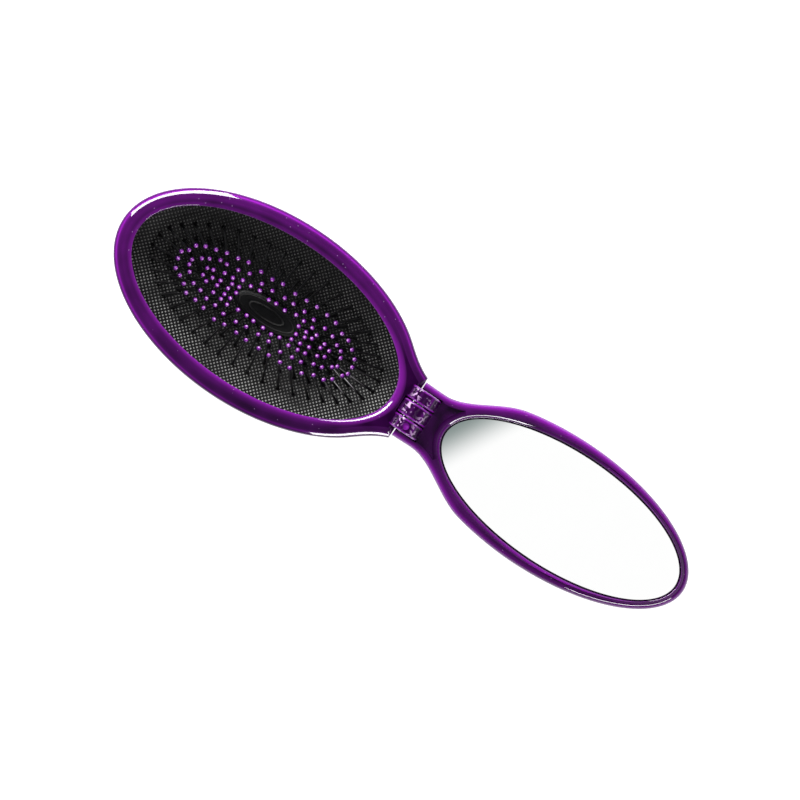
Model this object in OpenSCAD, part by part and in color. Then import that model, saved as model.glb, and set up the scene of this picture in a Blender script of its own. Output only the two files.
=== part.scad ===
// Folding pocket hairbrush: an oval brush head and an oval mirror half on one hinge.
// The rubber pad stands pushed in, with its bristles leaning together, ready to be closed.
// X runs along the brush (mirror at +X), Y across it, Z up out of the bristle side.
// The origin is the middle of the footprint, on the face that the head rests on.

/* [Head] */
// Half length of the head's oval outline
head_a = 54.8; // [50:0.1:60]
// Half width of the head's oval outline
head_b = 31.6; // [29:0.1:34]
// Depth of the head, from its back to its front crest
head_depth = 20; // [18:0.1:24]
// Width of the head's rim, from the outline in to the pad
rim_w = 5.7; // [4.8:0.1:6.5]
// How far the front crest stands over the pad's edge
lip_h = 3; // [2:0.1:4]
// How far the front lip reaches over the pad's flange
lip_cover = 2.4; // [1.6:0.1:2.8]
// How much further the lip reaches in, over the pad's edge
lip_reach = 0.45; // [0:0.05:0.8]
// Height of the ring that clamps the flange from behind
clamp_h = 6.5; // [4:0.1:9]

/* [Pad and bristles] */
// Thickness of the rubber pad
pad_t = 1.5; // [1:0.1:2]
// How deep the pushed-in pad lies under its edge
pad_sink = 14; // [13.4:0.1:14.5]
// Half length of the oval boss in the middle of the pad
boss_a = 12; // [10:0.1:13]
// Half width of that boss
boss_b = 4.5; // [4:0.1:4.8]
// How high the boss stands on the pad
boss_h = 1.2; // [0.6:0.1:2]
// Distance from the pad's edge to the outer row of bristles
first_row = 6.2; // [5:0.1:8]
// Distance from one row to the next
row_pitch = 5.6; // [5:0.1:6.2]
// Length of a bristle, from its foot to the middle of its ball
bristle_len = 13.4; // [11:0.1:13.8]
// Radius of a bristle's shaft
bristle_r = 0.45; // [0.3:0.05:0.6]
// Radius of the ball on its tip
ball_r = 0.8; // [0.6:0.05:0.9]

/* [Hinge] */
// From the end of the head's oval to the hinge axis
hinge_gap = 2.9; // [2.6:0.1:4]
// Radius of the hinge's knuckles
knuckle_r = 5.3; // [4:0.1:6]
// Width of the mirror half's middle knuckle
mid_knuckle_w = 5.2; // [4:0.1:7]
// Width of each of the head's two knuckles
side_knuckle_w = 4.6; // [3.5:0.1:5]
// Radius of the steel hinge pin
pin_r = 1.5; // [1:0.05:2]
// Half width of the neck at its narrowest
neck_b = 10.1; // [9.6:0.1:12]

/* [Mirror half] */
// From the hinge axis to the middle of the mirror half's oval
mirror_reach = 52.5; // [50:0.1:56]
// Half length of the mirror half's oval outline
mirror_a = 51; // [48:0.1:54]
// Half width of the mirror half's oval outline
mirror_b = 22.8; // [21:0.1:24]
// Thickness of the mirror half
mirror_depth = 11; // [10:0.1:13]
// Thickness of its domed back cover
cover_h = 4.4; // [3.4:0.1:4.6]
// Width of the frame beside the mirror
frame_side = 3.8; // [3:0.1:4.5]
// Width of the frame at the mirror's far end
frame_tip = 2.8; // [2.4:0.1:4]
// From the hinge axis to the mirror's near end
mirror_start = 11.6; // [10:0.1:14]
// Thickness of the glass
glass_t = 1.8; // [1.2:0.1:2]
// How deep the glass lies under the frame's face
glass_sink = 2.5; // [2.2:0.1:3]
// Thickness of the foam tape that holds it
tape_t = 0.8; // [0.4:0.1:1]

/* [Fits] */
// Radial clearance of the pin in the turning knuckle
pin_fit = 0.05; // [0.02:0.01:0.1]
// Gap between parts that pass or meet each other
gap = 0.3; // [0.2:0.05:0.5]
// Gap between parts that are fixed to each other
seat = 0.1; // [0.05:0.05:0.2]

/* [Hidden] */
$fn = 48;
turn_fn = 72; // steps round an oval shell
body_colour = "#5a0a73";
rubber_colour = "#161616";

total_len = 2 * head_a + hinge_gap + mirror_reach + mirror_a;
head_x = head_a - total_len / 2;
hinge_x = head_x + head_a + hinge_gap;
mirror_x = hinge_x + mirror_reach;
front_z = head_depth;                 // both halves' front faces, which meet when it is closed
hinge_z = front_z + gap / 2;
stop_reach = 2.4;                     // from the hinge axis back to the butt joint
split_x = hinge_x - stop_reach;       // where the opening halves stop each other
neck_reach = 5.1;                     // from the hinge axis to the narrowest place of the neck
neck_x = hinge_x + neck_reach;

pad_a = head_a - rim_w;
pad_b = head_b - rim_w;
pad_z = head_depth - lip_h;           // the pad's edge
bowl_power = 2.2;                     // how quickly the bowl steepens towards its edge
stem_a = 8;                           // hole in the pad that the boss is clipped through
stem_b = 2.2;
clip_t = 0.7;                         // the boss's clip behind the pad
clip_margin = 2;                      // how much shorter the clip is than the boss, at each end
flat_margin = 2;                      // the pad's flat floor reaches past the boss's ends by this
flat_side = 0.6;                      // and past its sides by this
flange_step = 0.1;                    // the flange's face ends this far outside the pad's edge
badge_a = 6.6;                        // the raised oval line on the boss
badge_b = 2;
badge_line = 0.6;
badge_h = 0.4;

lean_share_x = 0.225;                 // how far the tips of the pushed-in pad lean inwards,
lean_share_y = 0.47;                  // as shares of their feet's distances from the middle
ease_share = 0.3;                     // how much of that sideways lean is lost at the ends
foot_lift = 0.4;                      // how far a foot stays off the rubber, which moves with it
tip_scatter = 0.45;

knuckle_gap = gap + 0.1;              // between the knuckles' end faces
side_knuckle_y = mid_knuckle_w / 2 + knuckle_gap;
knuckle_end = side_knuckle_y + side_knuckle_w;
pocket_r = knuckle_r + gap;
mark_r = 1.2;                         // the round mark on one knuckle
mark_depth = 0.7;

mirror_back_z = front_z - mirror_depth;
parting_z = mirror_back_z + cover_h;
glass_z = front_z - glass_sink - glass_t;
tape_z = glass_z - tape_t;
glass_tip_x = mirror_x + mirror_a - frame_tip;
glass_root_x = hinge_x + mirror_start;
glass_a = (glass_tip_x - glass_root_x) / 2;
glass_b = mirror_b - frame_side;
glass_x = (glass_tip_x + glass_root_x) / 2;
rail = 2.8;                           // width of the rails beside the neck's sunk web
recess_depth = 2;                     // how deep that web lies under the front
recess_start = 1;                     // from the hinge axis to where that web begins
cover_floor = 1.6;                    // the back cover's wall thickness behind the mirror
cover_inset = 2.5;                    // how far the cover's hollow stays inside the glass's edge
tape_inset = 2;                       // and the foam tape

// Rows of bristles, from the outer one in: [how many, share of even spacing along the row].
row_counts = [42, 36, 32];
row_evenness = [0.5, 0.5, 1];
// How many neighbours move together, along half of each row, starting at the hinge end.
half_groups = [[2, 2, 2, 3, 5, 3, 2, 2], [2, 2, 3, 4, 3, 2, 2], [2, 3, 6, 3, 2]];
// The short columns at both ends of the boss: [distance from the middle, number, spacing].
end_columns = [[26.6, 1, 0], [22.6, 2, 3.4], [18.7, 3, 3.4], [15, 3, 3.5]];

// How the shells' edges are rounded, each as [place, how far the outline is drawn in].
// The head's places are heights over its back, then depths under its front.
head_back_edge = [[0, 1.9], [0.4, 1.25], [1.4, 0.6], [3.5, 0.2], [7, 0]];
head_front_edge = [[2.4, 0], [1.6, 0.06], [1.15, 0.2], [0.86, 0.42], [0.62, 0.72], [0.4, 1.1],
    [0.2, 1.6], [0, 3]];
// The mirror cover's are shares of its height, the mirror frame's are depths under its front.
cover_edge = [[0, 9], [0.03, 6.9], [0.14, 4.9], [0.32, 3.1], [0.6, 1.5], [0.82, 0.6], [1, 0.2]];
frame_edge = [[2.6, 0], [1.7, 0.06], [1.2, 0.2], [0.88, 0.42], [0.6, 0.72], [0.35, 1.1],
    [0.16, 1.5], [0, 2.3]];

// ---- plane curves -------------------------------------------------------------------

function oval(a, b, t) = [a * cos(t), b * sin(t)];

function bezier(p, s) = pow(1 - s, 3) * p[0] + 3 * s * pow(1 - s, 2) * p[1]
    + 3 * s * s * (1 - s) * p[2] + pow(s, 3) * p[3];

function unit(v) = v / norm(v);

// One side of an outline from the split to the oval: the neck's concave curve.
// side is -1 for the head and 1 for the mirror half, leave is the oval's angle there.
function neck_curve(side, mid_x, a, b, leave, reach_oval, reach_neck) =
    let (t = side < 0 ? leave : 180 - leave,
         p = [mid_x, 0] + oval(a, b, t),
         along = unit([side * a * abs(sin(t)), b * abs(cos(t))]),
         q = [neck_x, neck_b])
    [p, p + reach_oval * [-along[0], -along[1]], q + [side * reach_neck, 0], q];

// The oval's angle where each neck curve leaves it, and how far each curve keeps its direction.
head_leave = 35;
mirror_leave = 64;
head_pull_oval = 7.2;
head_pull_neck = 7.5;
mirror_pull_oval = 9.2;
mirror_pull_neck = 8;
head_neck = neck_curve(
    -1, head_x, head_a, head_b, head_leave, head_pull_oval, head_pull_neck);
mirror_neck = neck_curve(
    1, mirror_x, mirror_a, mirror_b, mirror_leave, mirror_pull_oval, mirror_pull_neck);

// Where the neck's curve crosses the split, by halving the interval.
function at_split(p, x, lo = 0, hi = 1, n = 20) =
    n == 0 ? lo : let (m = (lo + hi) / 2)
        bezier(p, m)[0] < x ? at_split(p, x, m, hi, n - 1) : at_split(p, x, lo, m, n - 1);

head_split = at_split(head_neck, split_x - gap / 2);
head_side = [for (i = [0:7]) bezier(head_neck, head_split * (1 - i / 8))];
mirror_side = concat([[split_x + gap / 2, neck_b + 0.12], [(split_x + neck_x) / 2, neck_b + 0.04]],
    [for (i = [0:9]) bezier(mirror_neck, 1 - i / 10)]);

function mirrored_back(points) = [for (i = [len(points) - 1:-1:0]) [points[i][0], -points[i][1]]];

head_outline = concat(head_side,
    [for (t = [head_leave:5:360 - head_leave]) [head_x, 0] + oval(head_a, head_b, t)],
    mirrored_back(head_side));
mirror_half = concat(mirror_side,
    [for (t = [180 - mirror_leave:-4:1]) [mirror_x, 0] + oval(mirror_a, mirror_b, t)]);
mirror_outline = concat(mirror_half, [[mirror_x + mirror_a, 0]], mirrored_back(mirror_half));

// Unit normals pointing out of an outline; the two ends keep theirs across the neck.
function normals(p, turn) = let (n = len(p)) [for (i = [0:n - 1])
    i == 0 ? [0, 1] : i == n - 1 ? [0, -1]
    : let (d = unit(p[i + 1] - p[i - 1])) turn * [d[1], -d[0]]];

// ---- shells -------------------------------------------------------------------------

// A solid whose plan is an outline drawn in by a little more at some levels: [z, inset].
module cushion_edge(outline, turn, levels) {
    n = len(outline);
    m = len(levels);
    out = normals(outline, turn);
    points = [for (l = levels) for (i = [0:n - 1])
        [outline[i][0] - l[1] * out[i][0], outline[i][1] - l[1] * out[i][1], l[0]]];
    sides = [for (j = [0:m - 2]) for (i = [0:n - 1]) for (k = [0, 1])
        let (a = j * n + i, b = j * n + (i + 1) % n)
        k == 0 ? [a, b, b + n] : [a, b + n, a + n]];
    faces = concat(sides, [for (f = cap(0, n)) turned(f)], cap((m - 1) * n, n));
    polyhedron(points, turn > 0 ? [for (f = faces) turned(f)] : faces);
}

function turned(face) = [face[0], face[2], face[1]];

// Triangles that close an outline of n points from side to side; its middle point is the tip.
function cap(first, n) = let (tip = (n - 1) / 2) concat(
    [for (i = [0:tip - 2]) for (k = [0, 1]) k == 0
        ? [first + i, first + i + 1, first + n - 2 - i]
        : [first + i, first + n - 2 - i, first + n - 1 - i]],
    [[first + tip - 1, first + tip, first + tip + 1]]);

// A closed oval ring whose section is a loop of [half length, half width, z].
module oval_ring(loop) {
    n = turn_fn;
    m = len(loop);
    points = [for (p = loop) for (i = [0:n - 1])
        [p[0] * cos(360 * i / n), p[1] * sin(360 * i / n), p[2]]];
    faces = [for (j = [0:m - 1]) for (i = [0:n - 1]) for (k = [0, 1])
        let (a = j * n + i, b = j * n + (i + 1) % n,
             c = ((j + 1) % m) * n + (i + 1) % n, d = ((j + 1) % m) * n + i)
        k == 0 ? [a, c, b] : [a, d, c]];
    polyhedron(points, faces);
}

module oval_plate(a, b, h) {
    linear_extrude(h) scale([a, b]) circle(1, $fn = 180);
}

// A bar across the brush along the hinge axis, between two places on Y.
module axis_bar(r, from, to) {
    translate([hinge_x, to, hinge_z]) rotate([90, 0, 0]) cylinder(h = to - from, r = r);
}

// The bars of both side knuckles, each longer by more at both of its ends.
module side_bars(r, more) {
    axis_bar(r, side_knuckle_y - more, knuckle_end + more);
    axis_bar(r, -knuckle_end - more, -side_knuckle_y + more);
}

module head_frame() {
    color(body_colour) difference() {
        union() {
            difference() {
                cushion_edge(head_outline, 1, concat(
                    head_back_edge, [for (e = head_front_edge) [front_z - e[0], e[1]]]));
                translate([head_x, 0, pad_z - 1])
                    oval_plate(pad_a - lip_reach, pad_b - lip_reach, lip_h + 2);
                translate([head_x, 0, -1])
                    oval_plate(pad_a + lip_cover, pad_b + lip_cover, pad_z + 1);
                axis_bar(pocket_r, -side_knuckle_y, side_knuckle_y);
            }
            side_bars(knuckle_r, 0);
        }
        axis_bar(pin_r, -knuckle_end - 1, knuckle_end + 1);
        // a shallow round mark on the knuckle where the mould was filled
        translate([hinge_x, -side_knuckle_y - side_knuckle_w / 2, hinge_z + knuckle_r - mark_depth])
            cylinder(h = 2 * mark_depth, r = mark_r);
    }
}

module clamp_ring() {
    color(rubber_colour) translate([head_x, 0, pad_z - pad_t - seat - clamp_h]) difference() {
        oval_plate(pad_a + lip_cover - seat, pad_b + lip_cover - seat, clamp_h);
        translate([0, 0, -1]) oval_plate(pad_a + gap, pad_b + gap, clamp_h + 2);
    }
}

// ---- pad ----------------------------------------------------------------------------

// How deep the pushed-in rubber lies, at a distance s in from its edge.
function sink(s) = pad_sink * (1 - pow(max(0, 1 - s / pad_b), bowl_power));

pad_steps = [0, 0.8, 2, 3.5, 5, 7, 9.5, 12.5, 16, 20];

module bristle_pad() {
    flange = lip_cover - seat;
    floor_z = -sink(pad_b - boss_b);
    front = [for (s = pad_steps) [pad_a - s, pad_b - s, -sink(s)]];
    back = [for (i = [len(pad_steps) - 1:-1:0])
        let (s = pad_steps[i]) [pad_a - s, pad_b - s, -sink(s) - pad_t]];
    color(rubber_colour) translate([head_x, 0, pad_z]) oval_ring(concat(
        [[pad_a + flange, pad_b + flange, -pad_t], [pad_a + flange, pad_b + flange, -seat],
            [pad_a + flange_step, pad_b + flange_step, -seat]],
        [for (i = [1:len(front) - 1]) front[i]],
        [[boss_a + flat_margin, boss_b + flat_side, floor_z], [stem_a, stem_b, floor_z],
            [stem_a, stem_b, floor_z - pad_t], [boss_a + flat_margin, boss_b + flat_side, floor_z - pad_t]],
        back));
}

module pad_boss() {
    floor_z = pad_z - sink(pad_b - boss_b);
    color(rubber_colour) translate([head_x, 0, 0]) {
        difference() {
            union() {
                translate([0, 0, floor_z + seat]) oval_plate(boss_a, boss_b, boss_h);
                translate([0, 0, floor_z + seat + boss_h]) oval_plate(badge_a, badge_b, badge_h);
                translate([0, 0, floor_z - pad_t - seat - clip_t / 2])
                    oval_plate(stem_a - seat, stem_b - seat, pad_t + 2 * seat + clip_t);
                translate([0, 0, floor_z - pad_t - seat - clip_t])
                    oval_plate(boss_a - clip_margin, boss_b - clip_margin / 2, clip_t);
            }
            translate([0, 0, floor_z + seat + boss_h])
                oval_plate(badge_a - badge_line, badge_b - badge_line, badge_h + 1);
        }
    }
}

// ---- bristles -----------------------------------------------------------------------

row_a = [for (k = [0:2]) pad_a - first_row - k * row_pitch];
row_b = [for (k = [0:2]) pad_b - first_row - k * row_pitch];

// Lengths along a quarter of an oval, as [length, angle] pairs for lookup().
function quarter_lengths(a, b) = [for (i = 0, s = 0; i <= 90; i = i + 1,
    s = s + norm(oval(a, b, i) - oval(a, b, i - 1))) [s, i]];

// The oval's angle at a share f of its way round, if the steps along it are all as long.
function even_angle(a, b, f) =
    let (table = quarter_lengths(a, b), q = 4 * f, n = floor(q), r = q - n,
         whole = table[90][0], part = n % 2 == 0 ? r : 1 - r, t = lookup(part * whole, table))
    n * 90 + (n % 2 == 0 ? t : 90 - t);

function row_angle(k, i) =
    let (f = (i + 0.5) / row_counts[k], w = row_evenness[k])
    (1 - w) * 360 * f + w * even_angle(row_a[k], row_b[k], f);

// A repeatable scatter between -1 and 1.
function scatter(i) = sin(i * i * 60.8 + i * 61.1);

function tip_of(foot, seed) =
    let (ease = 1 - ease_share * abs(foot[0]) / pad_a,
         dx = -lean_share_x * foot[0] + tip_scatter * scatter(seed),
         dy = -lean_share_y * ease * foot[1] + tip_scatter * scatter(seed + 50))
    foot + [dx, dy, sqrt(bristle_len * bristle_len - dx * dx - dy * dy)];

module bristle(foot, seed) {
    way = tip_of(foot, seed) - foot;
    translate([head_x, 0, pad_z] + foot)
        rotate([0, acos(way[2] / bristle_len), atan2(way[1], way[0])]) {
            translate([0, 0, foot_lift]) cylinder(h = bristle_len - foot_lift, r = bristle_r);
            translate([0, 0, bristle_len]) sphere(ball_r);
        }
}

// The groups of a row: [number of its first bristle, how many], all the way round.
function group_starts(sizes, i = 0, at = 0) =
    i == len(sizes) ? [] : concat([[at, sizes[i]]], group_starts(sizes, i + 1, at + sizes[i]));
row_groups = [for (g = half_groups) group_starts(concat(g, g))];

module row_group(k, g) {
    first = row_groups[k][g][0] - half_groups[k][0] / 2;
    color(rubber_colour) for (i = [first:first + row_groups[k][g][1] - 1]) {
        flat = oval(row_a[k], row_b[k], row_angle(k, (i + row_counts[k]) % row_counts[k]));
        bristle([flat[0], flat[1], -sink(first_row + k * row_pitch)], 100 * k + i);
    }
}

module end_group(side) {
    color(rubber_colour) for (n = [0:len(end_columns) - 1]) for (j = [0:end_columns[n][1] - 1]) {
        column = end_columns[n];
        y = (j - (column[1] - 1) / 2) * column[2];
        bristle([side * column[0], y, -sink(pad_b - boss_b)], 400 + side * 20 + 4 * n + j);
    }
}

// ---- hinge pin and mirror half ------------------------------------------------------

module hinge_pin() {
    color("silver") axis_bar(pin_r, -knuckle_end + seat, knuckle_end - seat);
}

module mirror_frame() {
    color(body_colour) difference() {
        union() {
            difference() {
                cushion_edge(mirror_outline, -1, concat([[parting_z, cover_edge[6][1]]],
                    [for (e = frame_edge) [front_z - e[0], e[1]]]));
                side_bars(pocket_r, gap);
                // a half groove across both tabs, through which the pin was pushed in
                axis_bar(pin_r + gap, -mirror_b, mirror_b);
                translate([glass_x, 0, tape_z - seat]) oval_plate(glass_a, glass_b, head_depth);
                neck_recess();
            }
            axis_bar(knuckle_r, -mid_knuckle_w / 2, mid_knuckle_w / 2);
        }
        axis_bar(pin_r + pin_fit, -mid_knuckle_w, mid_knuckle_w);
    }
}

// The sunk web between the hinge and the mirror, with rails left along its sides.
module neck_recess() {
    difference() {
        translate([hinge_x + recess_start, -neck_b + rail, front_z - recess_depth])
            cube([mirror_start + 2 * rail, 2 * (neck_b - rail), head_depth]);
        translate([glass_x, 0, 0]) oval_plate(glass_a + rail, glass_b + rail, 2 * head_depth);
    }
}

module mirror_cover() {
    color(body_colour) difference() {
        cushion_edge(mirror_outline, -1,
            [for (e = cover_edge) [mirror_back_z + e[0] * cover_h, e[1]]]);
        translate([glass_x, 0, mirror_back_z + cover_floor])
            oval_plate(glass_a - cover_inset, glass_b - cover_inset, cover_h);
    }
}

module mirror_glass() {
    color("lightgrey") translate([glass_x, 0, glass_z])
        oval_plate(glass_a - seat, glass_b - seat, glass_t);
}

module foam_tape() {
    color("white") translate([glass_x, 0, tape_z])
        oval_plate(glass_a - tape_inset, glass_b - tape_inset, tape_t);
}

// ---- nodes --------------------------------------------------------------------------

ROW_NAMES = ["outer", "middle", "inner"];
function group_name(k, g) = str("bristles_", ROW_NAMES[k], "_", g + 1);

head_frame();
clamp_ring();
bristle_pad();
pad_boss();
hinge_pin();
mirror_frame();
mirror_cover();
mirror_glass();
foam_tape();
end_group(1);  // bristles_end_hinge
end_group(-1);  // bristles_end_far
for (k = [0:2]) for (g = [0:len(row_groups[k]) - 1])
    row_group(k, g);
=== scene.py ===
"""A folding pocket hairbrush, opened flat, with its rubber pad pushed in.

The brush lies along X, its brush head at -X and its mirror half at +X, on a white table top.
Lengths are written in millimetres and multiplied by mm.
"""

import math

import bmesh
import bpy
from mathutils import Matrix, Vector
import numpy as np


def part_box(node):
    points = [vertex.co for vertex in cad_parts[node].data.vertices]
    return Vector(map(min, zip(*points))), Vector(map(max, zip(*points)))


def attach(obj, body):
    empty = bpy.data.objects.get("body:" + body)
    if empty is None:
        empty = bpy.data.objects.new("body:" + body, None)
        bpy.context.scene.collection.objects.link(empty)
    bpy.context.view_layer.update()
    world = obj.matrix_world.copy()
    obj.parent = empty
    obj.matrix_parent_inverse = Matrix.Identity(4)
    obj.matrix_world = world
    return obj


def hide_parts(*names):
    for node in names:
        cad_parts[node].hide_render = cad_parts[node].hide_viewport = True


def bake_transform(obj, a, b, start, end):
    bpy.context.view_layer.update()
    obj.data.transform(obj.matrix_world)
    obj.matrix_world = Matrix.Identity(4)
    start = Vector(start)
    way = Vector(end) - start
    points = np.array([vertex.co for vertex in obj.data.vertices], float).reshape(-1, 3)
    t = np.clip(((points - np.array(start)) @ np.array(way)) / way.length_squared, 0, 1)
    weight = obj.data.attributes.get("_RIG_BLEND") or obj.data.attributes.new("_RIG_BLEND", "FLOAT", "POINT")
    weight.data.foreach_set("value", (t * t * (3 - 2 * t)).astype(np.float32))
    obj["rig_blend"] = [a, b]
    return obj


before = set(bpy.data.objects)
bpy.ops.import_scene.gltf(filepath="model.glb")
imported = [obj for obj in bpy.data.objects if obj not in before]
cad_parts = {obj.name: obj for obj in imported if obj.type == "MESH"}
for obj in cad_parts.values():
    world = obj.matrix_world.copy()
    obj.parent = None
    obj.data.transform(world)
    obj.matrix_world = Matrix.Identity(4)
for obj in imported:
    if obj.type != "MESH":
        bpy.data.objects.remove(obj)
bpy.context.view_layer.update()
mm = 0.001

# ---- Table, camera and lamps ------------------------------------------------------------
# The brush lies on a white sheet between two long softboxes, with a weak one over it. Shiny
# surfaces also see a dark cloth overhead, with a window in it for the mirror. The camera
# hangs straight over the brush, far away.

scene = bpy.context.scene
scene.view_settings.view_transform = "Standard"

brush_turn = math.radians(33.7)
crest_z = 20 * mm
width_seen_at_crest = 256.4 * mm
camera_spot = Vector((-1.7 * mm, 0.67 * mm, 1.51))
camera = bpy.data.objects.new("camera", bpy.data.cameras.new("camera"))
camera.data.sensor_width = 36
camera.data.lens = camera.data.sensor_width * (camera_spot.z - crest_z) / width_seen_at_crest
camera.location = camera_spot
camera.rotation_euler = (0, 0, brush_turn)
scene.collection.objects.link(camera)
scene.camera = camera


def seen_directly(nodes, links):
    """1 for the camera, mirrors and clear plastic, 0 for the light that falls on the brush."""
    path = nodes.new("ShaderNodeLightPath")
    total = path.outputs["Is Camera Ray"]
    for kind in ("Is Glossy Ray", "Is Transmission Ray"):
        add = nodes.new("ShaderNodeMath")
        add.operation = "MAXIMUM"
        links.new(total, add.inputs[0])
        links.new(path.outputs[kind], add.inputs[1])
        total = add.outputs[0]
    return total


studio = bpy.data.worlds.new("studio")
studio.use_nodes = True
sky, sky_links = studio.node_tree.nodes, studio.node_tree.links
sky["Background"].inputs["Color"].default_value = (1, 1, 1, 1)
sky_level = sky.new("ShaderNodeMapRange")
sky_level.inputs["To Min"].default_value = 0.16
sky_level.inputs["To Max"].default_value = 1
sky_links.new(seen_directly(sky, sky_links), sky_level.inputs["Value"])
sky_links.new(sky_level.outputs[0], sky["Background"].inputs["Strength"])
scene.world = studio


def flat_sheet(name, size, height, material):
    """A level square for the studio, which isn't part of the brush."""
    bm = bmesh.new()
    bmesh.ops.create_grid(bm, x_segments=1, y_segments=1, size=size / 2)
    bmesh.ops.translate(bm, vec=(0, 0, height), verts=bm.verts)
    mesh = bpy.data.meshes.new(name)
    bm.to_mesh(mesh)
    bm.free()
    item = bpy.data.objects.new(name, mesh)
    item.data.materials.append(material)
    scene.collection.objects.link(item)
    return item


paper = bpy.data.materials.new("white_paper")
paper.use_nodes = True
paper_nodes, paper_links = paper.node_tree.nodes, paper.node_tree.links
paper_shader = paper_nodes["Principled BSDF"]
paper_shader.inputs["Base Color"].default_value = (0.85, 0.85, 0.85, 1)
paper_shader.inputs["Roughness"].default_value = 0.9
paper_shader.inputs["Specular IOR Level"].default_value = 0.1
paper_shader.inputs["Emission Color"].default_value = (1, 1, 1, 1)
paper_glow = paper_nodes.new("ShaderNodeMath")
paper_glow.operation = "MULTIPLY"
paper_glow.inputs[1].default_value = 0.8
paper_links.new(seen_directly(paper_nodes, paper_links), paper_glow.inputs[0])
paper_links.new(paper_glow.outputs[0], paper_shader.inputs["Emission Strength"])
flat_sheet("table", size=6, height=-0.05 * mm, material=paper)


def soft_step(nodes, links, value, start, end):
    """0 before start, 1 past end, and smooth between them."""
    step = nodes.new("ShaderNodeMapRange")
    step.interpolation_type = "SMOOTHSTEP"
    step.inputs["From Min"].default_value = start
    step.inputs["From Max"].default_value = end
    links.new(value, step.inputs["Value"])
    return step.outputs[0]


def product(nodes, links, a, b):
    times = nodes.new("ShaderNodeMath")
    times.operation = "MULTIPLY"
    for value, socket in zip((a, b), times.inputs):
        if isinstance(value, bpy.types.NodeSocket):
            links.new(value, socket)
        else:
            socket.default_value = value
    return times.outputs[0]


def mixed(nodes, links, factor, a, b):
    """Mixes two colours, each given as a value or as another node's output."""
    mix = nodes.new("ShaderNodeMix")
    mix.data_type = "RGBA"
    sockets = [s for s in mix.inputs if s.enabled]
    for value, socket in zip((factor, a, b), sockets):
        if isinstance(value, bpy.types.NodeSocket):
            links.new(value, socket)
        elif isinstance(value, tuple):
            socket.default_value = (*value, 1)
        else:
            socket.default_value = value
    return next(s for s in mix.outputs if s.enabled)


cloth_height = 0.4
window_x, window_a, window_b = 76.6 * mm, 56 * mm, 23.9 * mm
net_slant = (0.88, -0.474, 0)
net_full, net_gone = 17 * mm, 33 * mm


def dark_cloth():
    """Dark cloth with an oval window, one end of which is behind a grey-green net."""
    paint = bpy.data.materials.new("dark_cloth")
    paint.use_nodes = True
    nodes, links = paint.node_tree.nodes, paint.node_tree.links
    nodes.remove(nodes["Principled BSDF"])
    place = nodes.new("ShaderNodeTexCoord").outputs["Object"]
    slant = nodes.new("ShaderNodeVectorMath")
    slant.operation = "DOT_PRODUCT"
    slant.inputs[1].default_value = net_slant
    links.new(place, slant.inputs[0])
    fitted = nodes.new("ShaderNodeMapping")
    fitted.vector_type = "TEXTURE"
    fitted.inputs["Location"].default_value = (window_x, 0, cloth_height)
    fitted.inputs["Scale"].default_value = (window_a, window_b, 1)
    links.new(place, fitted.inputs["Vector"])
    away = nodes.new("ShaderNodeVectorMath")
    away.operation = "LENGTH"
    links.new(fitted.outputs[0], away.inputs[0])
    hole = soft_step(nodes, links, away.outputs["Value"], 1.035, 1)
    daylight = soft_step(nodes, links, slant.outputs["Value"], net_full, net_gone)
    window = product(nodes, links, hole, daylight)
    glow = nodes.new("ShaderNodeEmission")
    cloth_colour = mixed(nodes, links, hole, (0.06, 0.06, 0.063), (0.235, 0.285, 0.275))
    links.new(cloth_colour, glow.inputs["Color"])
    open_air = nodes.new("ShaderNodeBsdfTransparent")
    mix = nodes.new("ShaderNodeMixShader")
    links.new(window, mix.inputs["Fac"])
    links.new(glow.outputs[0], mix.inputs[1])
    links.new(open_air.outputs[0], mix.inputs[2])
    links.new(mix.outputs[0], nodes["Material Output"].inputs["Surface"])
    return paint


cloth = flat_sheet("dark_cloth", size=2.4, height=cloth_height, material=dark_cloth())
cloth.visible_camera = False
cloth.visible_diffuse = False
cloth.visible_transmission = False
cloth.visible_shadow = False


def softbox(name, direction, elevation, distance, size, watts, shiny=True):
    """A lamp that faces the brush, at a direction round it and an elevation, in degrees."""
    lamp = bpy.data.lights.new(name, "AREA")
    lamp.shape = "RECTANGLE"
    lamp.size, lamp.size_y = size
    lamp.energy = watts
    turn, rise = math.radians(direction), math.radians(elevation)
    flat = math.cos(rise)
    back = Vector((math.cos(turn) * flat, math.sin(turn) * flat, math.sin(rise)))
    item = bpy.data.objects.new(name, lamp)
    item.location = back * distance
    item.rotation_mode = "QUATERNION"
    item.rotation_quaternion = (-back).to_track_quat("-Z", "Y")
    item.visible_glossy = shiny
    scene.collection.objects.link(item)


softbox("far_box", 147, 36, distance=0.62, size=(0.52, 0.14), watts=4.3)
softbox("near_box", -44, 34, distance=0.64, size=(0.5, 0.07), watts=2)
softbox("top_box", 100, 62, distance=1.1, size=(0.6, 0.6), watts=1.6, shiny=False)

# ---- Head shell -------------------------------------------------------------------------
# The brush head's shell is one moulding in clear violet plastic: an oval ring with a bead
# on each edge of its crest, running into the neck and the two outer hinge knuckles.

head_low, head_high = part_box("head_frame")
pin_low, pin_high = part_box("hinge_pin")

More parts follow.
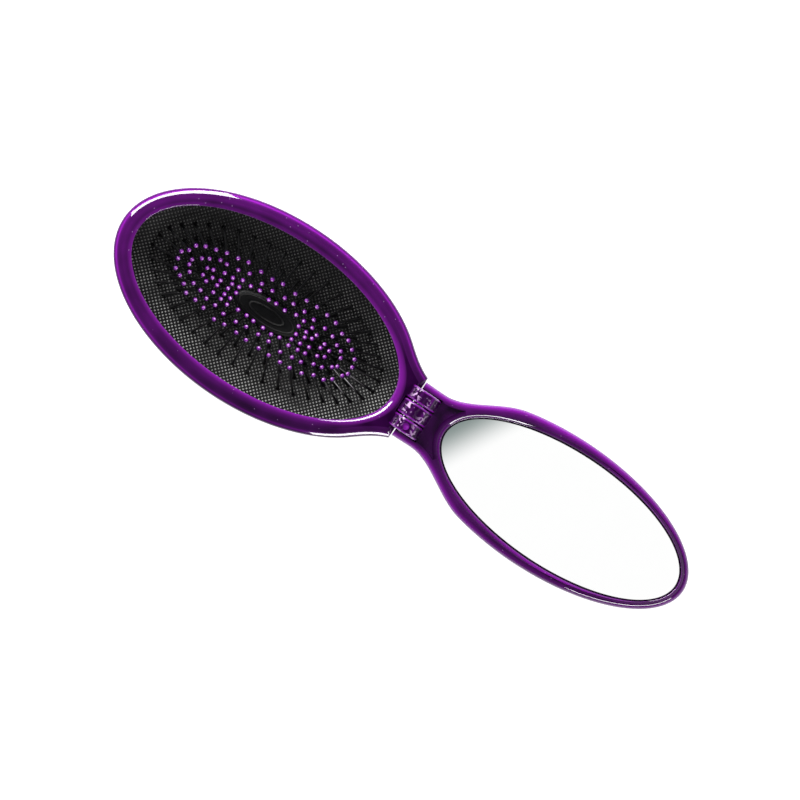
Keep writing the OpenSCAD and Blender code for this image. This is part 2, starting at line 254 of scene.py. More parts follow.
head_a = 54.8 * mm
head_b = head_high.y
head_x = head_low.x + head_a
rim_width = 5.7 * mm
hinge_x = (pin_low.x + pin_high.x) / 2
hinge_z = (pin_low.z + pin_high.z) / 2
pin_r = (pin_high.x - pin_low.x) / 2
half_gap = 0.15 * mm
front_z = hinge_z - half_gap
pad_z = front_z - 3 * mm
pad_a, pad_b = head_a - rim_width, head_b - rim_width
split_x = hinge_x - 2.4 * mm
neck_x = hinge_x + 5.1 * mm
neck_b = 10.1 * mm
knuckle_r = head_high.z - hinge_z
knuckle_inner = 3 * mm
knuckle_outer = pin_high.y + 0.1 * mm
knuckle_rim = 0.75 * mm
pocket_gap = 0.3 * mm
press_play = 0.02 * mm
bore_reach = 12 * mm
# A vertex that is this near to a surface counts as on it.
slack = 0.02 * mm


def oval(a, b, angle):
    return Vector((a * math.cos(angle), b * math.sin(angle)))


def bezier(p, s):
    r = 1 - s
    return r**3 * p[0] + 3 * s * r * r * p[1] + 3 * s * s * r * p[2] + s**3 * p[3]


def neck_curve(side, mid_x, a, b, leave, pull_oval, pull_neck):
    """The concave line from one half's oval to the narrowest place of the neck."""
    angle = math.radians(leave if side < 0 else 180 - leave)
    start = Vector((mid_x, 0)) + oval(a, b, angle)
    along = Vector((side * a * abs(math.sin(angle)), b * abs(math.cos(angle)))).normalized()
    end = Vector((neck_x, neck_b))
    return [start, start - pull_oval * along, end + Vector((side * pull_neck, 0)), end]


def until(curve, x, steps):
    """Points along a curve from its start to where it crosses x."""
    low, high = 0.0, 1.0
    for _ in range(30):
        middle = (low + high) / 2
        low, high = (middle, high) if bezier(curve, middle).x < x else (low, middle)
    return [bezier(curve, low * i / steps) for i in range(steps + 1)]


def both_sides(upper):
    """Closes an outline from its +Y half, which runs from the hinge end to the tip."""
    upper[-1].y = 0
    return upper + [Vector((p.x, -p.y)) for p in reversed(upper[:-1])]


def head_outline():
    leave, steps = 35, 108
    pull_oval, pull_neck = 7.2 * mm, 7.5 * mm
    curve = neck_curve(-1, head_x, head_a, head_b, leave, pull_oval, pull_neck)
    side = until(curve, split_x - half_gap, steps=18)[::-1]
    for i in range(1, steps + 1):
        angle = math.radians(leave + (180 - leave) * i / steps)
        side.append(Vector((head_x, 0)) + oval(head_a, head_b, angle))
    return both_sides(side)


def outward(points, end_lean):
    """Normals that point out of an outline. Those of its two ends lean along X."""
    turn = 1 if sum(a.cross(b) for a, b in zip(points, points[1:] + points[:1])) > 0 else -1
    result = []
    for before, after in zip(points[:-2], points[2:]):
        way = (after - before).normalized()
        result.append(turn * Vector((way.y, -way.x)))
    return [Vector((end_lean, 1)), *result, Vector((end_lean, -1))]


def drawn_in(points, skin, end_lean=0.0):
    """The outline drawn in by each step of a skin: [inset, height, tone]."""
    normals = outward(points, end_lean)
    return [
        [(*(p - n * inset * mm), z * mm) for p, n in zip(points, normals)]
        for inset, z, _ in skin
    ]


def oval_loop(mid_x, a, b, z, count=240):
    turns = [2 * math.pi * i / count for i in range(count)]
    return [(mid_x + a * math.cos(t), b * math.sin(t), z) for t in turns]


def pulled_up(bm, ring, places):
    """Extrudes a closed ring of vertices and moves the new ring to these places."""
    edges = [bm.edges.get((v, ring[i - 1])) for i, v in enumerate(ring)]
    made = bmesh.ops.extrude_edge_only(bm, edges=edges)["geom"]
    fresh = {v for v in made if isinstance(v, bmesh.types.BMVert)}
    upper = []
    for v, place in zip(ring, places):
        new = next(e.other_vert(v) for e in v.link_edges if e.other_vert(v) in fresh)
        new.co = place
        upper.append(new)
    return upper


def rising_wall(bm, loops, painted_levels=()):
    """Pulls the first loop through all the others. Returns the first and the last ring.

    Each ring may have a painted light level: how bright the clear plastic is painted there.
    """
    painted_light = bm.verts.layers.float.get("painted_light") or bm.verts.layers.float.new("painted_light")
    ring = [bm.verts.new(p) for p in loops[0]]
    for i, v in enumerate(ring):
        bm.edges.new((ring[i - 1], v))
    rings = [ring]
    for loop in loops[1:]:
        rings.append(pulled_up(bm, rings[-1], loop))
    for ring, value in zip(rings, painted_levels):
        for v in ring:
            v[painted_light] = value
    return rings[0], rings[-1]


def fill_between(bm, *rings):
    edges = [bm.edges.get((v, ring[i - 1])) for ring in rings for i, v in enumerate(ring)]
    bmesh.ops.triangle_fill(bm, use_beauty=True, edges=edges)


def finished(name, bm):
    """Turns a bmesh into a linked object."""
    bmesh.ops.recalc_face_normals(bm, faces=bm.faces)
    mesh = bpy.data.meshes.new(name)
    bm.to_mesh(mesh)
    bm.free()
    item = bpy.data.objects.new(name, mesh)
    scene.collection.objects.link(item)
    return item


def round_bar(name, r, y0, y1, edge=0.0, sides=96):
    """A bar along the hinge axis, with rounded rims."""
    bm = bmesh.new()
    bmesh.ops.create_cone(
        bm, cap_ends=True, segments=sides, radius1=r, radius2=r, depth=y1 - y0
    )
    if edge:
        rims = [e for e in bm.edges if abs(e.verts[0].co.z - e.verts[1].co.z) < 1e-9]
        bmesh.ops.bevel(
            bm, geom=rims, offset=edge, offset_type="OFFSET", segments=3,
            profile=0.5, affect="EDGES", material=-1, clamp_overlap=True,
        )
    bmesh.ops.rotate(
        bm, cent=(0, 0, 0), matrix=Matrix.Rotation(math.pi / 2, 3, "X"), verts=bm.verts
    )
    bmesh.ops.translate(bm, vec=(hinge_x, (y0 + y1) / 2, hinge_z), verts=bm.verts)
    return finished(name, bm)


def carve(item, tool, operation="DIFFERENCE"):
    """Cuts a piece with a tool, or joins the tool to it, and throws the tool away."""
    cut = item.modifiers.new("carve", "BOOLEAN")
    cut.object = tool
    cut.operation = operation
    cut.solver = "EXACT"
    shaped = item.evaluated_get(bpy.context.evaluated_depsgraph_get())
    mesh = bpy.data.meshes.new_from_object(shaped)
    item.modifiers.clear()
    item.data = mesh
    bpy.data.objects.remove(tool)


def peak(value, middle, width):
    """1 at the middle, and falling smoothly to 0 on both sides of it."""
    return math.exp(-(((value - middle) / width) ** 2))


# Painted light on a clear knuckle, for the light it bends into lines along itself: [level,
# degrees from its top towards the mirror, width in degrees]. The painted bands are even, and
# the painted glints are broken up.
painted_knuckle_bands = ((0.24, -36, 4), (0.1, -15, 5), (0.28, 30, 6), (0.12, -58, 5))
painted_knuckle_glints = ((1, -32, 16), (0.6, 34, 14))


def paint_hinge_light(item):
    """Paints light and shade on a carved hinge: painted bands, glints and bright rims on the
    knuckles, and painted shade in the pockets and the bore.
    """
    bm = bmesh.new()
    bm.from_mesh(item.data)
    painted_light = bm.verts.layers.float["painted_light"]
    glint_mask = bm.verts.layers.float.new("painted_glint_mask")
    for v in bm.verts:
        x, z = v.co.x - hinge_x, v.co.z - hinge_z
        r, turn = math.hypot(x, z), math.degrees(math.atan2(x, z))
        if abs(v.co.y) > knuckle_outer + pocket_gap + slack:
            continue
        if r < pin_r + pocket_gap or abs(r - knuckle_r - pocket_gap) < slack:
            v[painted_light] = 0.05
        elif v.co.z > front_z + slack and knuckle_r - knuckle_rim < r < knuckle_r + slack:
            on_rim = r < knuckle_r - slack
            bands = sum(level * peak(turn, *place) for level, *place in painted_knuckle_bands)
            v[painted_light] = 0.62 if on_rim else 0.02 + bands
            v[glint_mask] = sum(level * peak(turn, *place) for level, *place in painted_knuckle_glints)
    bm.to_mesh(item.data)
    bm.free()


def dress(item, *materials, sharp=32):
    """Smooths a finished piece but for its sharp edges, and gives it its materials."""
    bm = bmesh.new()
    bm.from_mesh(item.data)
    bmesh.ops.remove_doubles(bm, verts=bm.verts, dist=0.002 * mm)
    bmesh.ops.dissolve_degenerate(bm, dist=0.002 * mm, edges=bm.edges)
    for face in bm.faces:
        face.smooth = True
    for edge in bm.edges:
        both = len(edge.link_faces) == 2
        edge.smooth = both and edge.calc_face_angle(0) < math.radians(sharp)
    bm.to_mesh(item.data)
    bm.free()
    item.data.materials.clear()
    for material in materials:
        item.data.materials.append(material)
    even = item.modifiers.new("even_normals", "WEIGHTED_NORMAL")
    even.keep_sharp = True
    even.weight = 100


def handled_surface():
    """Faint waves, rubbed patches and moulded-in specks, as on handled clear plastic."""
    group = bpy.data.node_groups.new("handled_surface", "ShaderNodeTree")
    group.interface.new_socket("Scale", in_out="INPUT", socket_type="NodeSocketFloat")
    for name in ("Specks", "Waves", "Rub"):
        group.interface.new_socket(name, in_out="OUTPUT", socket_type="NodeSocketFloat")
    nodes, links = group.nodes, group.links
    source, result = nodes.new("NodeGroupInput"), nodes.new("NodeGroupOutput")
    sized = nodes.new("ShaderNodeVectorMath")
    sized.operation = "SCALE"
    links.new(nodes.new("ShaderNodeTexCoord").outputs["Object"], sized.inputs[0])
    links.new(source.outputs["Scale"], sized.inputs["Scale"])
    specks = nodes.new("ShaderNodeTexVoronoi")
    specks.inputs["Scale"].default_value = 0.42
    links.new(sized.outputs[0], specks.inputs["Vector"])
    dots = soft_step(nodes, links, specks.outputs["Distance"], 0.09, 0.05)
    links.new(dots, result.inputs["Specks"])
    for name, scale, detail in (("Waves", 0.12, 1.5), ("Rub", 0.55, 6)):
        noise = nodes.new("ShaderNodeTexNoise")
        noise.inputs["Scale"].default_value = scale
        noise.inputs["Detail"].default_value = detail
        links.new(sized.outputs[0], noise.inputs["Vector"])
        links.new(noise.outputs["Fac"], result.inputs[name])
    return group


handled = handled_surface()


def handled_marks(nodes, scale):
    marks = nodes.new("ShaderNodeGroup")
    marks.node_tree = handled
    marks.inputs["Scale"].default_value = scale / mm
    return marks.outputs


def spread(nodes, links, value, low, high, start=0.0, end=1.0):
    """Turns a value that runs from start to end into one that runs from low to high."""
    stretch = nodes.new("ShaderNodeMapRange")
    names = ("From Min", "From Max", "To Min", "To Max")
    for name, number in zip(names, (start, end, low, high)):
        stretch.inputs[name].default_value = number
    links.new(value, stretch.inputs["Value"])
    return stretch.outputs[0]


def raised(nodes, links, height, strength, depth):
    bump = nodes.new("ShaderNodeBump")
    bump.inputs["Strength"].default_value = strength
    bump.inputs["Distance"].default_value = depth
    links.new(height, bump.inputs["Height"])
    return bump.outputs[0]


def candy_plastic(name, deep, bright):
    """Clear violet plastic with painted light: its thin edges and beads are painted bright, and
    its thick places painted dark.

    The layer painted_light says how bright it is painted, and painted_glint_mask where
    painted glints break it up.
    """
    paint = bpy.data.materials.new(name)
    paint.use_nodes = True
    nodes, links = paint.node_tree.nodes, paint.node_tree.links
    shader = nodes["Principled BSDF"]
    marks = handled_marks(nodes, 1)
    painted_light = nodes.new("ShaderNodeAttribute")
    painted_light.attribute_name = "painted_light"
    level = nodes.new("ShaderNodeMath")
    level.use_clamp = True
    links.new(painted_light.outputs["Fac"], level.inputs[0])
    links.new(spread(nodes, links, marks["Waves"], -0.08, 0.08), level.inputs[1])
    colour = mixed(nodes, links, level.outputs[0], deep, bright)
    specks = product(nodes, links, marks["Specks"], 0.3)
    colour = mixed(nodes, links, specks, colour, (0.7, 0.4, 0.85))
    # Painted glints: near-white blobs where painted_glint_mask allows them.
    blobs = nodes.new("ShaderNodeTexNoise")
    blobs.inputs["Scale"].default_value = 0.62 / mm
    blobs.inputs["Detail"].default_value = 0
    blobs.inputs["Distortion"].default_value = 1.1
    links.new(nodes.new("ShaderNodeTexCoord").outputs["Object"], blobs.inputs["Vector"])
    painted_glints = soft_step(nodes, links, blobs.outputs["Fac"], 0.59, 0.64)
    where = nodes.new("ShaderNodeAttribute")
    where.attribute_name = "painted_glint_mask"
    painted_glints = product(nodes, links, painted_glints, where.outputs["Fac"])
    colour = mixed(nodes, links, painted_glints, colour, (0.88, 0.55, 0.95))
    links.new(colour, shader.inputs["Base Color"])
    rubbed = spread(nodes, links, marks["Rub"], 0.05, 0.14, 0.35, 0.75)
    links.new(rubbed, shader.inputs["Roughness"])
    links.new(raised(nodes, links, marks["Waves"], 0.06, 0.4 * mm), shader.inputs["Normal"])
    shader.inputs["IOR"].default_value = 1.49
    shader.inputs["Specular IOR Level"].default_value = 0.1
    gloss = soft_step(nodes, links, painted_light.outputs["Fac"], 0.015, 0.05)
    links.new(gloss, shader.inputs["Coat Weight"])
    shader.inputs["Coat IOR"].default_value = 1.58
    shader.inputs["Coat Roughness"].default_value = 0.02
    return paint


violet = candy_plastic("violet_plastic", (0.018, 0.001, 0.028), (0.42, 0.02, 0.62))

# Each step of a skin holds lengths in millimetres and ends in its painted light level, which
# says how bright the clear plastic is painted there, in place of light passing through it.

# The crest's outer skin, from the table up: [inset from the outline, height, painted light].
# The bright step at 1.05 mm in is a painted highlight along the crest.
outer_skin = [
    (1.9, 0, 0.17), (1.25, 0.4, 0.22), (0.6, 1.4, 0.2), (0.2, 3.5, 0.16), (0, 7, 0.15),
    (0, 13, 0.15), (0, 17.6, 0.15), (0.04, 18.2, 0.2), (0.14, 18.6, 0.28), (0.34, 18.88, 0.24),
    (0.6, 19.05, 0.16), (1.05, 19.3, 0.62), (1.5, 19.53, 0.2), (1.9, 19.72, 0.12),
    (2.3, 19.87, 0.1), (2.75, 19.96, 0.1), (3.15, 20, 0.115), (3.25, 20, 0.115),
]
# The rabbet behind the pad and the wall over it: [outwards from the pad, height, painted light].
inner_skin = [(2.4, 0, 0.17), (2.4, 17, 0.11), (-0.45, 17, 0.2), (-0.45, 17.9, 0.25)]
# The lip's slope over the pad's edge: [share of its width from its inner edge, how deep it
# lies there as a share of that width, how far past its width, painted light].
lip_skin = [
    (0, 0.62, 0, 0.34), (0.12, 0.47, 0, 0.45), (0.4, 0.3, 0, 0.42), (0.75, 0.11, 0, 0.34),
    (1, 0.02, 0, 0.27), (1, 0, 0.2, 0.24), (1, 0, 0.7, 0.14), (1, 0, 1.05, 0.1),
]
lip_reach = 0.45 * mm
# The lip's width, and how much wider it is beside the neck, in millimetres.
lip_width, lip_widening = 0.6, 1.4
# Painted shade: the crest is painted darker over this stretch, where it runs into the solid
# neck.
painted_neck_shade_start, painted_neck_shade_length = 34 * mm, 12 * mm
# The side the far lamp shines from, which painted light and the net's painted highlight follow.
lamp_side = Vector((-0.45, 0.89))


def painted_levels(skin):
    return [step[-1] for step in skin]


def oval_wall(mid_x, a, b, skin):
    return [oval_loop(mid_x, a + r * mm, b + r * mm, z * mm) for r, z, _ in skin]


def paint_light_on_one_side(verts, painted_light, mid_x, swing):
    """Painted light: makes one side of the clear ring brighter than the other, by how far each
    vertex lies towards the lamp side.
    """
    for v in verts:
        way = Vector((v.co.x - mid_x, v.co.y)).normalized()
        v[painted_light] *= 1 + swing * way.dot(lamp_side)


def lip_ring(share, depth, beyond):
    ring = []
    for x, y, z in oval_loop(0, 1, 1, front_z):
        width = (lip_width + lip_widening * max(0, x) ** 6) * mm
        out = width * share + beyond * mm - lip_reach
        ring.append((head_x + (pad_a + out) * x, (pad_b + out) * y, z - depth * width))
    return ring


def head_shell():
    bm = bmesh.new()
    foot, crest = rising_wall(bm, drawn_in(head_outline(), outer_skin, 0.5), painted_levels(outer_skin))
    painted_light = bm.verts.layers.float["painted_light"]
    outside = set(bm.verts)
    paint_light_on_one_side(outside, painted_light, head_x, swing=0.55)
    inner = oval_wall(head_x, pad_a, pad_b, inner_skin)
    inner += [lip_ring(*step[:3]) for step in lip_skin]
    inner_foot, inner_crest = rising_wall(bm, inner, painted_levels(inner_skin + lip_skin))
    paint_light_on_one_side(set(bm.verts) - outside, painted_light, head_x, swing=-0.45)
    for v in crest + inner_crest:
        into_neck = (v.co.x - head_x - painted_neck_shade_start) / painted_neck_shade_length
        v[painted_light] *= 1 - 0.85 * min(1, max(0, into_neck))
    fill_between(bm, crest, inner_crest)
    fill_between(bm, foot, inner_foot)
    return finished("head_shell", bm)


def mould_mark():
    """The shallow round mark on one knuckle, where the mould was filled."""
    bm = bmesh.new()
    bmesh.ops.create_cone(
        bm, cap_ends=True, segments=40, radius1=1.05 * mm, radius2=1.35 * mm, depth=1.4 * mm
    )
    middle = -(knuckle_inner + knuckle_outer) / 2
    bmesh.ops.translate(bm, vec=(hinge_x, middle, head_high.z), verts=bm.verts)
    return finished("tool", bm)


head = head_shell()
carve(head, round_bar("tool", knuckle_r + pocket_gap, -knuckle_inner, knuckle_inner))
for side in (-1, 1):
    ends = sorted((side * knuckle_inner, side * knuckle_outer))
    carve(head, round_bar("tool", knuckle_r, *ends, edge=knuckle_rim), "UNION")
carve(head, round_bar("tool", pin_r + press_play, -bore_reach, bore_reach, sides=40))
carve(head, mould_mark())
paint_hinge_light(head)
dress(head, violet)
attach(head, "head")
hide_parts("head_frame")

# ---- Clamp ring -------------------------------------------------------------------------
# A plain black ring, pressed into the head from behind, which holds the pad's flange
# against the lip. It is moulded in filled plastic with a fine sparked grain.


def grainy_plastic(name, dark, light, grain, roughness, painted_highlight=None, gloss=0.5):
    """Solid plastic with a fine moulded grain and a cloudy colour.

    Where a painted highlight colour is given, the layer painted_light says how much shows.
    """
    paint = bpy.data.materials.new(name)
    paint.use_nodes = True
    nodes, links = paint.node_tree.nodes, paint.node_tree.links
    shader = nodes["Principled BSDF"]
    rub = handled_marks(nodes, grain)["Rub"]
    colour = mixed(nodes, links, rub, dark, light)
    if painted_highlight:
        painted_light = nodes.new("ShaderNodeAttribute")
        painted_light.attribute_name = "painted_light"
        colour = mixed(nodes, links, painted_light.outputs["Fac"], colour, painted_highlight)
    links.new(colour, shader.inputs["Base Color"])
    matt = spread(nodes, links, rub, roughness - 0.08, roughness + 0.08)
    links.new(matt, shader.inputs["Roughness"])
    links.new(raised(nodes, links, rub, 0.3, 0.05 * mm), shader.inputs["Normal"])
    shader.inputs["Specular IOR Level"].default_value = gloss
    return paint


def repaint(node, material):
    """A CAD node whose shape is right keeps it, and gets a better material."""
    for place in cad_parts[node].material_slots:
        place.material = material


ring_dark, ring_light = (0.012, 0.012, 0.013), (0.03, 0.03, 0.032)
repaint("clamp_ring", grainy_plastic("black_ring", ring_dark, ring_light, 5, 0.5))

# ---- Rubber pad -------------------------------------------------------------------------
# One moulding in black rubber with a net pattern all over it, pushed in to a bowl. A ring
# clamps its flange to the head's lip, and it turns inside out when it is pushed back.

pad_depth = 14 * mm
rubber_wall = 1.45 * mm
flange_width, flange_drop = 2.3 * mm, 0.1 * mm
boss_a, boss_b = 12 * mm, 4.5 * mm
stem_hole_a, stem_hole_b = 8 * mm, 2.2 * mm
net_pitch, net_turn = 1.04 * mm, math.radians(43)
# How far in from the pad's edge each ring of the bowl lies, in millimetres.
bowl_steps = (
    0.25, 0.55, 0.95, 1.4, 1.9, 2.5, 3.2, 4, 5, 6, 7.2, 8.5, 10, 11.6, 13.3, 15, 17, 19.2, 21,
)


def sink(s):
    """How deep the rubber lies at a distance in from its edge."""
    return pad_depth * (1 - max(0, 1 - s / pad_b) ** 2.2)


pad_floor = pad_z - sink(pad_b - boss_b)


def rubber_net():
    """Black rubber with a raised net of small domes. Their tops carry a patchy painted highlight,
    brighter on the side facing the lamp, with painted shade towards the middle under the
    bristles.
    """
    paint = bpy.data.materials.new("rubber_net")
    paint.use_nodes = True
    nodes, links = paint.node_tree.nodes, paint.node_tree.links
    shader = nodes["Principled BSDF"]
    place = nodes.new("ShaderNodeTexCoord").outputs["Object"]
    turned = nodes.new("ShaderNodeMapping")
    turned.inputs["Rotation"].default_value = (0, 0, net_turn)
    turned.inputs["Scale"].default_value = (1 / net_pitch,) * 3
    links.new(place, turned.inputs["Vector"])
    parts = nodes.new("ShaderNodeSeparateXYZ")
    links.new(turned.outputs[0], parts.inputs[0])
    waves = []
    for axis in ("X", "Y"):
        wave = nodes.new("ShaderNodeMath")
        wave.operation = "COSINE"
        links.new(product(nodes, links, parts.outputs[axis], 2 * math.pi), wave.inputs[0])
        waves.append(spread(nodes, links, wave.outputs[0], 0, 1, -1, 1))
    domes = product(nodes, links, *waves)
    cloud = nodes.new("ShaderNodeTexNoise")
    cloud.inputs["Scale"].default_value = 0.09 / mm
    cloud.inputs["Detail"].default_value = 3
    links.new(place, cloud.inputs["Vector"])
    peaks = soft_step(nodes, links, domes, 0.25, 0.9)
    patches = soft_step(nodes, links, cloud.outputs["Fac"], 0.1, 0.7)
    # Painted highlight on the domes' tops, in patches; painted shade towards the middle, and painted light
    # on the side that faces the lamp.
    painted_net_highlight = product(nodes, links, peaks, patches)
    middle = nodes.new("ShaderNodeMapping")
    middle.vector_type = "TEXTURE"
    middle.inputs["Location"].default_value = (head_x, 0, 0)
    middle.inputs["Scale"].default_value = (pad_a, pad_b, 1e6)
    links.new(place, middle.inputs["Vector"])
    reach = nodes.new("ShaderNodeVectorMath")
    reach.operation = "LENGTH"
    links.new(middle.outputs[0], reach.inputs[0])
    painted_shade_in_middle = spread(nodes, links, reach.outputs["Value"], 0.3, 1, 0.5, 0.85)
    painted_net_highlight = product(nodes, links, painted_net_highlight, painted_shade_in_middle)
    lit_side = nodes.new("ShaderNodeVectorMath")
    lit_side.operation = "DOT_PRODUCT"
    lit_side.inputs[1].default_value = (*-lamp_side, 0)
    links.new(middle.outputs[0], lit_side.inputs[0])
    painted_lit_side = spread(nodes, links, lit_side.outputs["Value"], 0.24, 1.25, -0.8, 0.8)
    painted_net_highlight = product(nodes, links, painted_net_highlight, painted_lit_side)
    colour = mixed(nodes, links, painted_net_highlight, (0.004, 0.004, 0.0045), (0.44, 0.44, 0.43))
    links.new(colour, shader.inputs["Base Color"])
    links.new(spread(nodes, links, peaks, 0.62, 0.36), shader.inputs["Roughness"])
    links.new(raised(nodes, links, domes, 0.9, 0.22 * mm), shader.inputs["Normal"])
    shader.inputs["Specular IOR Level"].default_value = 0.3
    return paint


def pad_membrane():
    """The rubber as one sheet, from the flange in to the hole for the boss."""
    floor = pad_z - pad_floor
    rings = [(pad_a + out, pad_b + out, flange_drop) for out in (flange_width, 0.1 * mm)]
    rings += [(pad_a - s * mm, pad_b - s * mm, sink(s * mm)) for s in bowl_steps]
    rings.append((boss_a + 8 * mm, boss_b + 0.5 * mm, floor))
    rings.append((boss_a + 2 * mm, boss_b + 0.2 * mm, floor))
    rings.append((stem_hole_a, stem_hole_b, floor))
    bm = bmesh.new()
    rising_wall(bm, [oval_loop(head_x, a, b, pad_z - down, 200) for a, b, down in rings])
    bmesh.ops.recalc_face_normals(bm, faces=bm.faces)
    if sum(face.normal.z for face in bm.faces) < 0:
        bmesh.ops.reverse_faces(bm, faces=bm.faces)
    for face in bm.faces:
        face.smooth = True
    mesh = bpy.data.meshes.new("pad_membrane")
    bm.to_mesh(mesh)
    bm.free()
    item = bpy.data.objects.new("pad_membrane", mesh)
    scene.collection.objects.link(item)
    item.data.materials.append(rubber_net())
    wall = item.modifiers.new("rubber", "SOLIDIFY")
    wall.thickness = rubber_wall
    wall.offset = -1
    return item


pad = pad_membrane()
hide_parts("bristle_pad")
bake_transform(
    pad, "head", "pad_middle", start=(head_x, 0, pad_z), end=(head_x, 0, pad_z - pad_depth)
)

# ---- Boss in the pad --------------------------------------------------------------------
# An oval button of smooth rubber, clipped through the pad's middle. A fine raised line
# runs round its plain face, and a smaller one inside it.

boss_top = 1.3
painted_shine_turn = math.radians(35)
# [half length, half width, height over the pad's floor, painted highlight], from the clip up
# to the face.
boss_skin = [
    (9.7, 3.2, -2.3, 0), (10, 3.5, -1.95, 0), (9.8, 3.3, -1.6, 0), (8, 2.1, -1.6, 0),
    (8, 2.1, 0.1, 0), (11.8, 4.3, 0.1, 0), (12, 4.5, 0.35, 0.1), (11.95, 4.45, 0.6, 0.3),
    (11.7, 4.25, 1, 0.6), (11.2, 3.9, 1.22, 0.4), (10.6, 3.6, boss_top, 0.1),
    (10.35, 3.42, boss_top + 0.25, 0.8), (10.1, 3.25, boss_top + 0.25, 0.8),
    (9.85, 3.1, boss_top, 0.1), (6.8, 2.15, boss_top, 0), (6.6, 2, boss_top + 0.3, 0.6),
    (6.35, 1.8, boss_top + 0.35, 0.7), (6.1, 1.62, boss_top + 0.25, 0.3),
    (5.95, 1.5, boss_top, 0), (3, 0.8, boss_top - 0.05, 0),
]

bm = bmesh.new()
loops = [
    oval_loop(head_x, a * mm, b * mm, pad_floor + z * mm, count=120) for a, b, z, _ in boss_skin
]
clip, face_ring = rising_wall(bm, loops, painted_levels(boss_skin))
fill_between(bm, clip)
fill_between(bm, face_ring)
painted_light = bm.verts.layers.float["painted_light"]
for v in bm.verts:
    # painted highlight: the raised lines shine at two opposite places round the oval
    turn = math.atan2(v.co.y / boss_b, (v.co.x - head_x) / boss_a)
    v[painted_light] *= 0.25 + 1.25 * math.cos(turn + painted_shine_turn) ** 2
boss = finished("pad_boss_button", bm)
# The boss's raised lines carry a painted grey highlight.
dark, light, painted_highlight = (0.002, 0.002, 0.0025), (0.007, 0.007, 0.008), (0.06, 0.06, 0.06)
dress(boss, grainy_plastic("smooth_rubber", dark, light, 3, 0.4, painted_highlight, gloss=0.25), sharp=40)
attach(boss, "pad_middle")
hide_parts("pad_boss")

# ---- Bristles ---------------------------------------------------------------------------
# 128 black nylon bristles with clear violet ball tips, in three oval rows and two clusters
# at the ends of the boss. The pushed-in pad leans them together.

bristle_length = 13.4 * mm
first_row, row_pitch = 6.2 * mm, 5.6 * mm
row_names = ("outer", "middle", "inner")
row_counts = (42, 36, 32)
# 1 sets a row's bristles evenly along its oval, and 0 evenly by the oval's angle.
row_evenness = (0.5, 0.5, 1)
# How many bristles move together, group after group, round each half of a row.
half_groups = ((2, 2, 2, 3, 5, 3, 2, 2), (2, 2, 3, 4, 3, 2, 2), (2, 3, 6, 3, 2))
# A cluster's columns: [millimetres from the middle of the pad, bristles, their spacing].
end_columns = ((26.6, 1, 0), (22.6, 2, 3.4), (18.7, 3, 3.4), (15, 3, 3.5))
lean_in_x, lean_in_y, tip_scatter = 0.225, 0.47, 0.45 * mm
# The shaft's end under the ball, and up the ball: where its clear plastic starts, where its
# painted glow starts and is full, and where its crown with a painted highlight starts. All
# are in millimetres.
shaft_end_r, shaft_end = 0.29, 12.6
ball_start, painted_glow_start, painted_glow_full, painted_highlight_start = 12.7, 13.49, 14.08, 14.1


def even_angle(a, b, share):
    """The oval's angle in degrees at a share of the way round it, measured along its line."""
    places = [0.0]
    for degree in range(1, 91):
        step = oval(a, b, math.radians(degree)) - oval(a, b, math.radians(degree - 1))
        places.append(places[-1] + step.length)
    quarter, rest = divmod(4 * share, 1)
    part = (rest if quarter % 2 == 0 else 1 - rest) * places[-1]
    degree = next(i for i in range(90) if places[i + 1] >= part or i == 89)
    degree += (part - places[degree]) / (places[degree + 1] - places[degree])
    return quarter * 90 + (degree if quarter % 2 == 0 else 90 - degree)


def scatter(seed):
    """A fixed value from -1 to 1 for each seed, for small unevenness."""
    return math.sin(math.radians(seed * seed * 60.8 + seed * 61.1))


def tip_from(foot, seed):
    """Where the middle of a bristle's ball is, seen from its foot."""
    ease = 1 - 0.3 * abs(foot.x) / pad_a
    dx = -lean_in_x * foot.x + tip_scatter * scatter(seed)
    dy = -lean_in_y * ease * foot.y + tip_scatter * scatter(seed + 50)
    return Vector((dx, dy, math.sqrt(bristle_length**2 - dx * dx - dy * dy)))


def bristle_shape():
    """One bristle standing up: a flared root, a shaft and a ball, as one turned form."""
    profile = (
        (0.75, 0.12), (0.6, 0.4), (0.44, 0.9), (0.36, 5), (shaft_end_r, shaft_end),
        (0.6, 12.87), (0.78, 13.22), (0.79, 13.5), (0.68, 13.82), (0.42, painted_glow_full),
        (0.12, 14.19),
    )
    bm = bmesh.new()
    verts = [bm.verts.new((r * mm, 0, z * mm)) for r, z in profile]
    edges = [bm.edges.new(pair) for pair in zip(verts, verts[1:])]
    bmesh.ops.spin(
        bm, geom=verts + edges, cent=(0, 0, 0), axis=(0, 0, 1), angle=2 * math.pi,
        steps=12, use_merge=True, use_duplicate=False,
    )
    bmesh.ops.remove_doubles(bm, verts=bm.verts, dist=0.001 * mm)
    bmesh.ops.holes_fill(bm, edges=bm.edges, sides=0)
    bmesh.ops.recalc_face_normals(bm, faces=bm.faces)
    for face in bm.faces:
        middle = face.calc_center_median()
        face.smooth = True
        face.material_index = (middle.z > ball_start * mm) + (middle.z > painted_highlight_start * mm)
    # Painted light on the ball: dark at its rim, glowing towards its top; the crown is left at 0, where its
    # material is the painted highlight.
    painted_light = bm.verts.layers.float.new("painted_light")
    for v in bm.verts:
        z = v.co.z / mm
        glow = (z - painted_glow_start) / (painted_glow_full - painted_glow_start)
        v[painted_light] = 0 if z > painted_highlight_start else max(0, min(1, glow)) ** 1.4
    mesh = bpy.data.meshes.new("bristle_shape")
    bm.to_mesh(mesh)
    bm.free()
    return mesh


bristle = bristle_shape()
# The shafts' near-white colour is a painted highlight, shown where painted_light says.
shaft_nylon = grainy_plastic(
    "black_nylon", (0.002, 0.002, 0.002), (0.005, 0.005, 0.006), 1.6, 0.42, (1, 0.97, 1)
)
